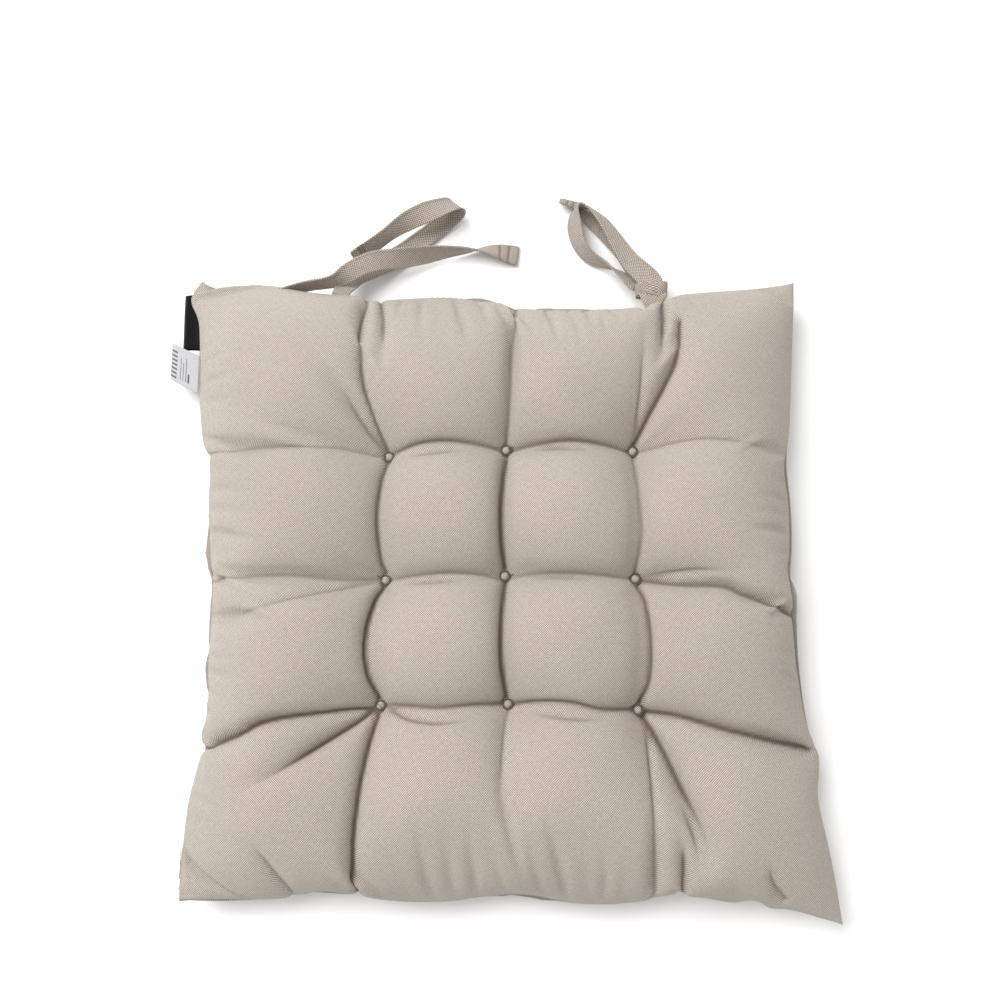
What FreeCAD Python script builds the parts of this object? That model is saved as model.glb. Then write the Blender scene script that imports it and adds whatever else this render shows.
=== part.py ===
import FreeCAD, Part
import math
import os

from FreeCAD import Vector

# A tufted square chair seat pad with two pairs of ties, in millimetres.
# +X is to the sitter's right, +Y is to the back of the chair, where the ties are, and +Z is up.
# The origin is the centre of the pad on the surface that it rests on.

# Pad
HALF_SIDE = 227.0        # from the centre to a corner, along X and along Y
SIDE_PULL = 14.0         # how far the middle of each side is drawn in
SEAM_Z = 30.0            # height of the seam that joins the two panels
TOP_RISE = 39.0          # height of the upper pillows above the seam
BOTTOM_DROP = 30.6       # depth of the lower pillows below the seam, before they flatten on the seat
PANEL = 1.0              # thickness of a cloth panel
EDGE_POWER = 6           # how late a pillow falls away towards the seam
FLATTEN = 2.5            # how strongly the underside flattens
GRID = 44                # spans of a panel's surface along each side

# Tufts
TUFT_PITCH = 90.0
TUFT_MIDDLE = (4.0, 3.0)  # the grid of tufts is a little off the pad's centre
TUFT_COUNT = 3
TUFT_DEPTH = 0.70        # share of a pillow's height that a tuft takes away
TOP_PIT = 24.0           # reach of a tuft's pit in the top
BOTTOM_PIT = 18.0        # reach of a tuft's pit in the underside
STRAND_R = 1.0
KNOT_R = 3.8
KNOT_THICK = 1.4
NEEDLE_HOLE_R = 1.3
TOP_KNOT_LIFT = 0.5      # a knot stands this far off the bottom of its pit
BOTTOM_KNOT_LIFT = 0.9
PLACING_ROUNDS = 20      # rounds that turn a place in plan into shares of the pad

# Filling and sewing
FILL_GAP = 0.1
FILL_INSET = 5.0         # the wadding stops this far inside the seam
SEAM_THREAD_R = 0.3
SEAM_THREAD_INSET = 1.2
SEAM_THREAD_REACH = 0.86 # share of a side that the thread covers, short of the flat corners
SEAM_THREAD_STEPS = 16
STITCH_R = 0.3
STITCH_HEIGHT = 2.6
STITCH_PITCH = 4.5
CLOSED_LENGTH = 112.0    # the stretch of the back seam closed by hand
STITCH_GAP = 0.05

# Ties
TIE_WIDTH = 16.0
TIE_THICK = 1.5
ARC_SHARE = 0.45         # share of the shorter run that an arc takes
ARC_STEPS = 5
ARC_HALF = 0.25          # an arc counts as this share of the way from its corner to the next one
LYING = 0.5              # a tie whose slope is under this turns its flat side down as it goes
SETTLING = 0.4           # how fast it does so
HEM_IN = 7.0             # the hem's stitching is this far from the free end
TIE_STITCHES = 6         # in a row across a tie
STITCH_SHARE = 0.6       # share of its pitch that a stitch covers

# Labels
LABEL_GAP = 0.6          # between the seam and the start of a label
LABEL_DROOP = 35.0       # degrees below level
BRAND_LABEL = {"y": (176.0, 222.0), "length": 17.0, "thick": 0.8}
CARE_LABEL = {"y": (142.0, 169.0), "length": 28.0, "thick": 0.4}

# Each tie's route: the corners that its arcs round off, and its roll about its own line in degrees
LEFT_TIE_A = [
    (-122, 220, 29, 0), (-120, 229, 22, 0), (-113.5, 240, 14, 0), (-102, 252, 7, 0), (-84, 264, 3.2, 0),
    (-63, 278, 3, 0), (-46, 290, 3.5, 0), (-37, 297, 10, 0), (-42, 301, 19, 0), (-56, 296, 21, 0),
    (-72, 286, 18, 0), (-88, 275, 14, 0), (-101, 266, 10.5, 0), (-110, 259, 9.5, 0),
]
LEFT_TIE_B = [
    (-163, 229, 26, 0), (-147, 230, 27.5, 0), (-132, 233.5, 29, 0), (-120, 239, 28.5, 0),
    (-107, 246, 26, 0), (-95, 251, 22, 0), (-80, 256, 17.5, 0), (-64, 258.5, 12.5, 0), (-49, 261, 8.5, 0),
    (-34, 263, 5, 0), (-18, 263.5, 3, 0), (-3, 262.5, 2, 0), (12, 260, 2, 0),
]
RIGHT_TIE_A = [
    (116, 220, 29.5, 0), (115, 229, 28, 0), (111, 240, 24, 0), (100, 252, 20, 0), (88, 267, 16.5, 10),
    (78, 281, 14.5, 30), (68, 292, 13.5, 60), (57, 296, 12.5, 90), (50, 287, 12, 120), (52, 274, 10, 150),
    (60, 264, 8, 175), (73, 256, 8.5, 180), (86, 248, 12, 180), (95, 240, 16.5, 180),
]
RIGHT_TIE_B = [
    (100.5, 220, 27.2, 0), (103, 229, 21.5, 0), (104, 238, 13, 0), (97, 249, 6.5, 0), (86, 261, 3, 0),
    (74, 275, 2.2, 0), (62, 288, 2.2, 0), (51, 298, 2.2, 0), (43, 304, 3, 0),
]
# The half-knot's wrap round the right pair: a flat ring, drawn out along Y
WRAP_X = (93.0, 126.0)
WRAP_Y = (225.5, 230.0)
WRAP_Z = (17.5, 30.5)
WRAP_THICK = 1.3
LENGTHWISE = 0.9         # an edge whose direction is at least this close to Y runs along the ring


def side_out(along):
    """Distance of a side from the centre line, at a share of its length from -1 to 1."""
    return HALF_SIDE - SIDE_PULL * (1 - along * along)


def plan(u, v):
    """The place in plan of a point given by its shares of the pad's half width and half depth."""
    return u * side_out(v), v * side_out(u)


def tuft_places():
    """The centre of each tuft, from the front left to the back right."""
    steps = [(i - (TUFT_COUNT - 1) / 2) * TUFT_PITCH for i in range(TUFT_COUNT)]
    return [(TUFT_MIDDLE[0] + x, TUFT_MIDDLE[1] + y) for y in steps for x in steps]


def fullness(u, v, pit):
    """How full the pad is at a point, from 0 at the seam to about 1 on a pillow."""
    x, y = plan(u, v)
    held = sum(math.exp(-((x - a) ** 2 + (y - b) ** 2) / (2 * pit * pit)) for a, b in tuft_places())
    edge = (1 - abs(u) ** EDGE_POWER) * (1 - abs(v) ** EDGE_POWER)
    return edge * (1 - TUFT_DEPTH * held)


def top_inside(u, v):
    """Height of the top panel's inner face."""
    return SEAM_Z + TOP_RISE * fullness(u, v, TOP_PIT)


def bottom_inside(u, v):
    """Height of the bottom panel's inner face, which is nearly level where the pad rests."""
    slack = min(1.0, 1 - fullness(u, v, BOTTOM_PIT))
    return SEAM_Z - BOTTOM_DROP * (1 - slack ** FLATTEN) + PANEL * (1 - slack ** FLATTEN)


def surface(height, lift=0.0):
    """A face over the whole pad through a grid of heights."""
    shares = [2 * i / GRID - 1 for i in range(GRID + 1)]
    rows = []
    for u in shares:
        rows.append([Vector(*plan(u, v), height(u, v) + lift) for v in shares])
    patch = Part.BSplineSurface()
    patch.interpolate(rows)
    return patch.toShape()


def outline(inset):
    """The pad's outline in the seam's plane as four arcs, moved inwards by inset."""
    corner = HALF_SIDE - inset
    middle = HALF_SIDE - SIDE_PULL - inset
    edges = []
    for quarter in range(4):
        turn = math.radians(90 * quarter)
        points = []
        for x, y in ((corner, -corner), (middle, 0), (corner, corner)):
            points.append(Vector(x * math.cos(turn) - y * math.sin(turn),
                                 x * math.sin(turn) + y * math.cos(turn), SEAM_Z))
        edges.append(Part.Arc(*points).toShape())
    return Part.Wire(edges)


def needle_holes(radius):
    """A cylinder through the pad at each tuft."""
    tall = 4 * SEAM_Z
    pins = [Part.makeCylinder(radius, tall, Vector(x, y, -SEAM_Z)) for x, y in tuft_places()]
    return Part.makeCompound(pins)


def top_panel():
    return surface(top_inside).extrude(Vector(0, 0, PANEL)).cut(needle_holes(NEEDLE_HOLE_R))


def bottom_panel():
    """The lower cloth, cut level at the surface that it rests on."""
    cloth = surface(bottom_inside, -PANEL).extrude(Vector(0, 0, PANEL))
    below = Part.makeBox(4 * HALF_SIDE, 4 * HALF_SIDE, SEAM_Z, Vector(-2 * HALF_SIDE, -2 * HALF_SIDE, -SEAM_Z))
    return cloth.cut(below).cut(needle_holes(NEEDLE_HOLE_R))


def fibre_fill():
    """The wadding between the two panels, a little inside the seam."""
    deep = 3 * SEAM_Z
    block = Part.Face(outline(FILL_INSET)).extrude(Vector(0, 0, deep))
    block.translate(Vector(0, 0, -SEAM_Z))
    under_top = surface(top_inside, -FILL_GAP).extrude(Vector(0, 0, -2 * deep))
    over_bottom = surface(bottom_inside, FILL_GAP).extrude(Vector(0, 0, 2 * deep))
    return block.common(under_top).common(over_bottom).cut(needle_holes(NEEDLE_HOLE_R))


def seam_thread():
    """The seam's thread along each side, in the narrow angle where the two panels meet."""
    lengths = []
    for quarter in range(4):
        turn = FreeCAD.Rotation(Vector(0, 0, 1), 90 * quarter)
        sections = []
        for i in range(SEAM_THREAD_STEPS + 1):
            along = SEAM_THREAD_REACH * (2 * i / SEAM_THREAD_STEPS - 1)
            x, y = plan(1, along)
            x -= SEAM_THREAD_INSET
            square = [(x + a * SEAM_THREAD_R, y, SEAM_Z + b * SEAM_THREAD_R)
                      for a, b in ((-1, -1), (1, -1), (1, 1), (-1, 1), (-1, -1))]
            sections.append(Part.makePolygon([turn.multVec(Vector(*p)) for p in square]))
        lengths.append(Part.makeLoft(sections, True, True))
    return Part.makeCompound(lengths)


def closing_stitches():
    """Short upright stitches over the outside of the back seam."""
    count = int(CLOSED_LENGTH / STITCH_PITCH)
    stitches = []
    for i in range(count + 1):
        x = (i - count / 2) * STITCH_PITCH
        y = side_out(x / side_out(1)) + STITCH_R + STITCH_GAP
        base = Vector(x, y, SEAM_Z - STITCH_HEIGHT / 2)
        stitches.append(Part.makeCylinder(STITCH_R, STITCH_HEIGHT, base))
    return Part.makeCompound(stitches)


def tuft(x, y):
    """One tuft's thread: a flat knot on each face and the strand that joins them."""
    u, v = x / HALF_SIDE, y / HALF_SIDE
    for _ in range(PLACING_ROUNDS):
        u, v = x / side_out(v), y / side_out(u)
    high = top_inside(u, v) + PANEL + TOP_KNOT_LIFT
    low = bottom_inside(u, v) - PANEL - BOTTOM_KNOT_LIFT
    bevel = KNOT_THICK / 3
    outline_rz = [
        (0, low - KNOT_THICK), (KNOT_R - bevel, low - KNOT_THICK), (KNOT_R, low - KNOT_THICK + bevel),
        (KNOT_R, low - bevel), (KNOT_R - bevel, low), (STRAND_R, low),
        (STRAND_R, high), (KNOT_R - bevel, high), (KNOT_R, high + bevel),
        (KNOT_R, high + KNOT_THICK - bevel), (KNOT_R - bevel, high + KNOT_THICK), (0, high + KNOT_THICK),
    ]
    corners = [Vector(x + r, y, z) for r, z in outline_rz]
    half = Part.Face(Part.makePolygon(corners + corners[:1]))
    return half.revolve(Vector(x, y, 0), Vector(0, 0, 1), 360)


def route(points):
    """Straight runs joined by tangent arcs, as a list of edges and the arcs' radii."""
    edges, radii = [], []
    here = points[0]
    for before, corner, after in zip(points, points[1:], points[2:]):
        way_in = (corner - before).normalize()
        way_out = (after - corner).normalize()
        half_turn = way_in.getAngle(way_out) / 2
        reach = ARC_SHARE * min((corner - before).Length, (after - corner).Length)
        radius = reach / math.tan(half_turn)
        inward = (way_out - way_in).normalize()
        middle = corner + inward * (radius / math.cos(half_turn) - radius)
        start, end = corner - way_in * reach, corner + way_out * reach
        edges.append(Part.LineSegment(here, start).toShape())
        edges.append(Part.Arc(start, middle, end).toShape())
        radii.append(radius)
        here = end
    edges.append(Part.LineSegment(here, points[-1]).toShape())
    return edges, radii


def tie_frames(name, corners):
    """The middle, the direction and the sideways direction of a tie at each station."""
    edges, radii = route([Vector(*c[:3]) for c in corners])
    print(name, "length", round(sum(e.Length for e in edges), 1), "radii", [round(r, 1) for r in radii])
    frames = []
    across = None
    for i, edge in enumerate(edges):
        is_arc = i % 2 == 1
        steps = ARC_STEPS if is_arc else 1
        for k in range(steps + 1):
            if k == 0 and frames:
                continue
            share = k / steps
            t = edge.FirstParameter + (edge.LastParameter - edge.FirstParameter) * share
            place, along = edge.valueAt(t), edge.tangentAt(t)
            level = along.cross(Vector(0, 0, 1))
            if across is None:
                across = level
            across = across - along * across.dot(along)
            if abs(along.z) < LYING:
                across = across.normalize() + level * (SETTLING if level.dot(across) > 0 else -SETTLING)
            across = across.normalize()
            corner = (i + 1) / 2 - ARC_HALF if is_arc else i / 2 + ARC_HALF
            corner += share / 2
            corner = min(max(corner, 0), len(corners) - 1)
            left = int(min(corner, len(corners) - 2))
            roll = corners[left][3] + (corners[left + 1][3] - corners[left][3]) * (corner - left)
            turned = FreeCAD.Rotation(along, roll).multVec(across)
            frames.append((place, along, turned))
    return frames


def tie(frames):
    """A flat strap along its route, from one slim oblong section to the next."""
    sections = []
    for place, along, across in frames:
        side = across * (TIE_WIDTH / 2)
        up = along.cross(across).normalize() * (TIE_THICK / 2)
        loop = [place - side - up, place + side - up, place + side + up, place - side + up]
        sections.append(Part.makePolygon(loop + loop[:1]))
    return Part.makeLoft(sections, True, True)


def stitch_row(place, along, across, side):
    """A row of stitches across a tie, on the face that side points out of."""
    pitch = TIE_WIDTH / (TIE_STITCHES + 1)
    length = STITCH_SHARE * pitch
    lift = side * (TIE_THICK / 2 + STITCH_R + STITCH_GAP)
    row = []
    for i in range(TIE_STITCHES):
        middle = place + lift + across * ((i - (TIE_STITCHES - 1) / 2) * pitch)
        row.append(Part.makeCylinder(STITCH_R, length, middle - across * (length / 2), across))
    return row


def tie_stitching(frames):
    """The hem rows near a tie's free end, one on each face, and the row beside the seam."""
    stitches = []
    end, along, across = frames[-1]
    up = along.cross(across).normalize()
    for side in (up, -up):
        stitches += stitch_row(end - along * HEM_IN, along, across, side)
    root, along, across = frames[0]
    up = across.cross(along).normalize()
    stitches += stitch_row(root + along * HEM_IN / 2, along, across, up)
    return Part.makeCompound(stitches)


def knot_wrap():
    """The flat ring that the half-knot makes round both ties of the right pair."""
    wide, deep, high = (b - a for a, b in (WRAP_X, WRAP_Y, WRAP_Z))
    outer = Part.makeBox(wide + 2 * WRAP_THICK, deep, high + 2 * WRAP_THICK,
                         Vector(WRAP_X[0] - WRAP_THICK, WRAP_Y[0], WRAP_Z[0] - WRAP_THICK))
    lengthwise = [e for e in outer.Edges if abs(e.tangentAt(e.FirstParameter).y) > LENGTHWISE]
    outer = outer.makeFillet(2 * WRAP_THICK, lengthwise)
    inner = Part.makeBox(wide, deep, high, Vector(WRAP_X[0], WRAP_Y[0], WRAP_Z[0]))
    lengthwise = [e for e in inner.Edges if abs(e.tangentAt(e.FirstParameter).y) > LENGTHWISE]
    return outer.cut(inner.makeFillet(WRAP_THICK, lengthwise))


def label(size):
    """A flat tab that leaves the left seam and droops."""
    ends = [Vector(-side_out(y / side_out(1)) - LABEL_GAP, y, SEAM_Z) for y in size["y"]]
    along = (ends[1] - ends[0]).normalize()
    level = along.cross(Vector(0, 0, -1)).normalize()
    droop = math.radians(LABEL_DROOP)
    out = (level * math.cos(droop) - Vector(0, 0, math.sin(droop))) * size["length"]
    face = along.cross(out).normalize() * size["thick"]
    start = [e - face / 2 for e in ends]
    loop = [start[0], start[1], start[1] + out, start[0] + out]
    return Part.Face(Part.makePolygon(loop + loop[:1])).extrude(face)


def nodes():
    """Every piece of the pad, by name."""
    made = {
        "top_panel": top_panel(),
        "bottom_panel": bottom_panel(),
        "fibre_fill": fibre_fill(),
        "seam_thread": seam_thread(),
        "closing_stitches": closing_stitches(),
    }
    rows = ("front", "middle", "back")
    columns = ("left", "centre", "right")
    for i, (x, y) in enumerate(tuft_places()):
        made[f"tuft_{rows[i // TUFT_COUNT]}_{columns[i % TUFT_COUNT]}"] = tuft(x, y)
    ties = {"left_tie_a": LEFT_TIE_A, "left_tie_b": LEFT_TIE_B,
            "right_tie_a": RIGHT_TIE_A, "right_tie_b": RIGHT_TIE_B}
    for name, corners in ties.items():
        frames = tie_frames(name, corners)
        made[name] = tie(frames)
        made[name + "_stitching"] = tie_stitching(frames)
    made["right_knot_wrap"] = knot_wrap()
    made["brand_label"] = label(BRAND_LABEL)
    made["care_label"] = label(CARE_LABEL)
    return made


os.makedirs("parts", exist_ok=True)
for node, shape in nodes().items():
    box = shape.BoundBox
    print(node, "valid" if shape.isValid() else "NOT VALID", shape.ShapeType, len(shape.Solids),
          "volume", round(shape.Volume, 1), "z", round(box.ZMin, 2), round(box.ZMax, 2))
    shape.exportStep(f"parts/{node}.step")
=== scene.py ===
import math

import bpy
import numpy as np
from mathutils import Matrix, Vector


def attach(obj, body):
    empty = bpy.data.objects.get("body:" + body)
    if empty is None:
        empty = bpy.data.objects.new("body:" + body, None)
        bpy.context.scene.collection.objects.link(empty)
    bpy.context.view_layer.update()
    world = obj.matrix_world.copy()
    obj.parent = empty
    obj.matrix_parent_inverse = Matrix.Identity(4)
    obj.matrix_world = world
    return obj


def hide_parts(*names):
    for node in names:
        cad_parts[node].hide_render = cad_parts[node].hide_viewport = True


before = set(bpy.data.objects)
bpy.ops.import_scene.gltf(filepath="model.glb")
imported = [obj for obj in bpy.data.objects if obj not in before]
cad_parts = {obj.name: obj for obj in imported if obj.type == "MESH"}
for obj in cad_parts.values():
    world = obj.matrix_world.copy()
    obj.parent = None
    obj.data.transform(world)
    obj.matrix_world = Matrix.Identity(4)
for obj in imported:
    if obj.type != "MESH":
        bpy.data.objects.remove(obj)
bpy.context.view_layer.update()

MM = 0.001

# ---------------------------------------------------------------- camera

LOOK_AT = Vector((-0.0024, 0.0671, 0.0))
CAMERA_DISTANCE = 0.9144
CAMERA_ELEVATION = math.radians(79.4)
FIELD_OF_VIEW = math.radians(45)


def make_camera():
    data = bpy.data.cameras.new("camera")
    data.angle = FIELD_OF_VIEW
    data.clip_start = 0.05
    camera = bpy.data.objects.new("camera", data)
    back = Vector((0, -math.cos(CAMERA_ELEVATION), math.sin(CAMERA_ELEVATION)))
    camera.location = LOOK_AT + back * CAMERA_DISTANCE
    camera.rotation_mode = "QUATERNION"
    camera.rotation_quaternion = (-back).to_track_quat("-Z", "Y")
    bpy.context.collection.objects.link(camera)
    bpy.context.scene.camera = camera


make_camera()

# ---------------------------------------------------------------- ties, in millimetres

# Each ribbon starts at its hinge in the back seam and follows its strap.
# Each of its points is x, y, z, roll in degrees and share of its width.
LEFT_TIE_A = [
    (-124, 219.5, 28.5, 0, 0.75), (-122, 226, 24, 0, 0.85), (-119, 233, 17.5, 0, 1), (-113, 241, 12, 0, 1),
    (-102, 249, 6.5, 0, 1), (-85, 258.5, 3.2, 0, 1), (-62, 276, 3, 0, 1), (-44.5, 291, 3.2, 0, 1.04),
    (-35.5, 299, 8, 0, 1.12), (-37, 300, 17, 0, 1.14), (-51, 293.5, 21, 0, 1.12), (-66, 287.5, 20.5, -24, 1),
    (-80, 280, 18.5, -52, 0.92), (-89.5, 273, 17, -62, 0.9), (-98.5, 266.5, 16, -60, 0.9),
    (-107, 260, 16, -50, 0.9), (-115, 253, 16.5, -42, 0.85),
]
LEFT_TIE_B = [
    (-170, 221.5, 24.5, 66, 0.8), (-158, 226, 25, 74, 0.85), (-147, 228.5, 26, 76, 0.85),
    (-136, 229.5, 27, 74, 0.85), (-126, 231.5, 28, 60, 0.85), (-117, 238, 28, 20, 0.9),
    (-107, 246, 25, 4, 1), (-95, 250.8, 21.5, 22, 1), (-81.5, 253.2, 18, 36, 1),
    (-69, 256.3, 14.5, 45, 1), (-57, 259.3, 12, 56, 0.95), (-44.5, 261.5, 10.5, 68, 0.9),
    (-32, 263.2, 9.3, 86, 0.8), (-19, 264, 8.6, 118, 0.9), (-7, 264, 6.5, 146, 1),
    (2.5, 262.8, 4, 166, 1.04), (11.8, 261.3, 2.6, 176, 1.08),
]
RIGHT_TIE_A = [
    (112.5, 219.5, 30, 0, 0.7), (114.5, 225, 29, 0, 1), (112, 232, 27.5, 0, 1.15),
    (105.5, 240.5, 24.5, 4, 1.12), (98, 249, 21, 12, 1.04), (90.5, 263, 18, 26, 1),
    (83, 278, 15.5, 42, 0.98), (75.5, 290, 14, 54, 0.98), (67.7, 297.5, 13, 66, 0.95),
    (60.5, 300.5, 12, 84, 0.9), (56, 296, 11.5, 66, 0.9), (55.2, 287, 11, 44, 0.95),
    (56.8, 275, 10, 50, 0.95), (60.8, 265.5, 9.5, 60, 0.95), (67.5, 258, 9.2, 66, 0.9),
    (75, 253.8, 9.6, 76, 0.85), (82.5, 250, 11, 98, 0.85), (90, 243.8, 13.5, 125, 0.85),
    (97, 236, 17, 142, 0.85), (104, 228, 21, 152, 0.8),
]
RIGHT_TIE_B = [
    (107, 219.5, 27, 0, 0.6), (106, 226, 24, 0, 0.8), (105.5, 232, 19, 0, 0.9), (104.5, 240, 12, 0, 0.9),
    (100, 252, 6, 0, 0.85), (92, 266, 3.2, 0, 0.8), (81.5, 279.5, 2.4, 0, 0.8), (70, 292.5, 2.8, 4, 0.8),
    (62.5, 300, 4.2, 26, 0.8), (54, 304.3, 5.8, 52, 0.8), (44.5, 306.3, 6.2, 56, 0.78),
]
TIE_WIDTH = 16.0
# Half a tie's section, from edge to edge: place across it, and height of its folded cloth
TIE_SECTION = [(-8.0, 0.0), (-7.85, 0.45), (-7.3, 0.72), (-6.4, 0.66), (-5.5, 0.52), (-2.8, 0.6), (0, 0.64),
               (2.8, 0.6), (5.5, 0.52), (6.4, 0.66), (7.3, 0.72), (7.85, 0.45)]
LEVEL_SLOPE = 0.5         # a tie whose slope is under this turns its flat side down as it goes
LEVEL_RATE = 0.08         # how fast it does so, for each millimetre
STITCH_THICK = 0.24
STITCH_STEP, STITCH_LENGTH = 2.9, 2.0      # along an edge
ROW_START, ROW_STEP, ROW_STITCH = -7.1, 2.4, 1.8      # across the tie
ROW_STITCHES = 6
CLOTH_LIFT = 0.66         # how far a stitch lies from the middle of a tie's thickness
WRAP_CENTRE = (112.8, 225.0, 24.0)
WRAP_HALF_WIDTH, WRAP_HALF_HEIGHT, WRAP_LENGTH, WRAP_THICK = 12.6, 5.6, 10, 0.8


def add_mesh(name, points, faces, uvs=None, scale=1.0):
    """A smooth piece from points in metres, or in millimetres with scale=MM; uvs are in metres of cloth."""
    mesh = bpy.data.meshes.new(name)
    mesh.from_pydata((np.asarray(points, float) * scale).tolist(), [], faces)
    mesh.polygons.foreach_set("use_smooth", [True] * len(mesh.polygons))
    if uvs is not None:
        layer = mesh.uv_layers.new(name="cloth")
        index = np.empty(len(mesh.loops), int)
        mesh.loops.foreach_get("vertex_index", index)
        layer.data.foreach_set("uv", np.asarray(uvs, float)[index].ravel())
    piece = bpy.data.objects.new(name, mesh)
    bpy.context.collection.objects.link(piece)
    return piece


def paint_fold_shade(piece, dark):
    """Stores painted shade for each point of a piece, from 0 to 1, that darkens its cloth's colour in folds
    and creases.
    """
    shade = piece.data.attributes.new("fold", "FLOAT", "POINT")
    shade.data.foreach_set("value", np.clip(dark, 0, 1).astype(np.float32))


def unit(v):
    v = np.asarray(v, float)
    return v / (np.sqrt((v * v).sum(-1, keepdims=True)) + 1e-12)


def distances(line):
    """How far along a line of points each of them is."""
    return np.concatenate([[0], np.cumsum(np.sqrt((np.diff(line, axis=0) ** 2).sum(1)))])


def stand_in(piece, body, node):
    """Puts a piece on its body, in place of a CAD node, which it hides."""
    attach(piece, body)
    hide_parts(node)


def spline_line(route):
    """The points of a smooth line through a route's control points, in millimetres."""
    curve = bpy.data.curves.new("route", "CURVE")
    curve.dimensions = "3D"
    spline = curve.splines.new("NURBS")
    spline.points.add(len(route) - 1)
    for point, place in zip(spline.points, route):
        point.co = (*place[:3], 1)
    spline.order_u = 3
    spline.use_endpoint_u = True
    spline.resolution_u = 10
    holder = bpy.data.objects.new("route", curve)
    line = bpy.data.meshes.new_from_object(holder)
    points = np.array([v.co for v in line.vertices])
    bpy.data.meshes.remove(line)
    bpy.data.objects.remove(holder)
    bpy.data.curves.remove(curve)
    return points


def ribbon_frames(route):
    """Places along a tie, its sideways and upward directions, the distance along it, its share of width."""
    places = spline_line(route)
    steps = np.sqrt((np.diff(places, axis=0) ** 2).sum(1))
    far = distances(places)
    along = unit(np.gradient(places, axis=0))
    corners = np.array([c[:3] for c in route], float)
    nearest = ((places[:, None] - corners) ** 2).sum(-1).argmin(0)
    stations = far[np.maximum.accumulate(nearest)]
    roll, width = (np.convolve(np.pad(np.interp(far, stations, [c[i] for c in route]), 4, mode="edge"),
                               np.ones(9) / 9, mode="valid") for i in (3, 4))
    roll = np.radians(roll)
    across, sides = None, []
    for k, direction in enumerate(along):
        level = np.cross(direction, (0, 0, 1))
        if across is None:
            across = level
        across = across - direction * (across @ direction)
        if abs(direction[2]) < LEVEL_SLOPE and k:
            turn = LEVEL_RATE * steps[k - 1]
            across = unit(across) + level * (turn if level @ across > 0 else -turn)
        across = unit(across)
        up = np.cross(direction, across)
        sides.append(across * math.cos(roll[k]) + up * math.sin(roll[k]))
    sides = np.array(sides)
    return places, sides, np.cross(sides, along), far, width


def join_rings(faces, first, rings, sides):
    """Adds the faces between rings of points, one ring after another, and those that close both ends."""
    for k in range(rings - 1):
        for i in range(sides):
            a, b = first + k * sides + i, first + k * sides + (i + 1) % sides
            faces.append([a, b, b + sides, a + sides])
    faces.append([first + i for i in range(sides)][::-1])
    faces.append([first + (rings - 1) * sides + i for i in range(sides)])


def make_ribbon(name, route, folds, seed):
    """A flat strap of stitched cloth, pinched at the folds of its hem, which are given from its far end."""
    places, sides, ups, far, width = ribbon_frames(route)
    rng = np.random.default_rng(seed)
    half = np.array(TIE_SECTION)
    section = np.concatenate([half, -half])
    phases = rng.uniform(0, 2 * math.pi, 6)
    wide = width * (1 + 0.025 * np.sin(far / 9 + phases[0]) + 0.015 * np.sin(far / 3.7 + phases[1]))
    cup = 0.5 * np.sin(far / 17 + phases[2]) + 0.25 * np.sin(far / 6 + phases[3])
    thick = 1 + 0.10 * np.sin(far / 5 + phases[4])
    for back in folds:
        thick += (0.7 + 0.5 * np.sin(back)) * np.exp(-((far[-1] - far - back + 2.4) / 2.0) ** 2)
        thick -= 0.8 * np.exp(-((far[-1] - far - back) / 0.8) ** 2)
    taper = 1 - 0.06 * np.exp(-(far[-1] - far) / 1.2)
    points, uvs = [], []
    for k in range(len(places)):
        x = section[:, 0] * wide[k] * taper[k]
        z = section[:, 1] * thick[k] / width[k] ** 0.5 + cup[k] * ((2 * section[:, 0] / TIE_WIDTH) ** 2 - 0.4)
        points.append(places[k] + x[:, None] * sides[k] + z[:, None] * ups[k])
        uvs.append(np.stack([np.full(len(x), far[k]), section[:, 0]], axis=-1) * MM)
    faces = []
    join_rings(faces, 0, len(places), len(section))
    piece = add_mesh(name, np.concatenate(points), faces, np.concatenate(uvs), MM)
    # painted shade: dark lines in the pinched folds of the hem
    dark = sum([np.exp(-((far[-1] - far - back) / 0.7) ** 2) for back in folds], 0 * far)
    paint_fold_shade(piece, np.repeat(dark, len(section)))
    return piece, (places, sides, ups, far, cup, wide)


def add_stitch(points, faces, uvs, a, b, up, thick=STITCH_THICK, sides=6):
    """One stitch of thread from a to b, its middle proud of the cloth on the side that up points out of."""
    along = unit(b - a)
    side = np.cross(along, up)
    length = math.dist(a, b)
    first = len(points)
    rings = ((0, 0.35, -0.2), (0.15, 0.9, 0.1), (0.5, 1.0, 0.3), (0.85, 0.9, 0.1), (1, 0.35, -0.2))
    for share, size, rise in rings:
        middle = a + (b - a) * share + up * rise * thick
        for i in range(sides):
            turn = 2 * math.pi * i / sides
            points.append(middle + size * thick * (math.cos(turn) * side + math.sin(turn) * up))
            uvs.append((share * length * MM, turn * thick * MM))
    join_rings(faces, first, len(rings), sides)


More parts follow.
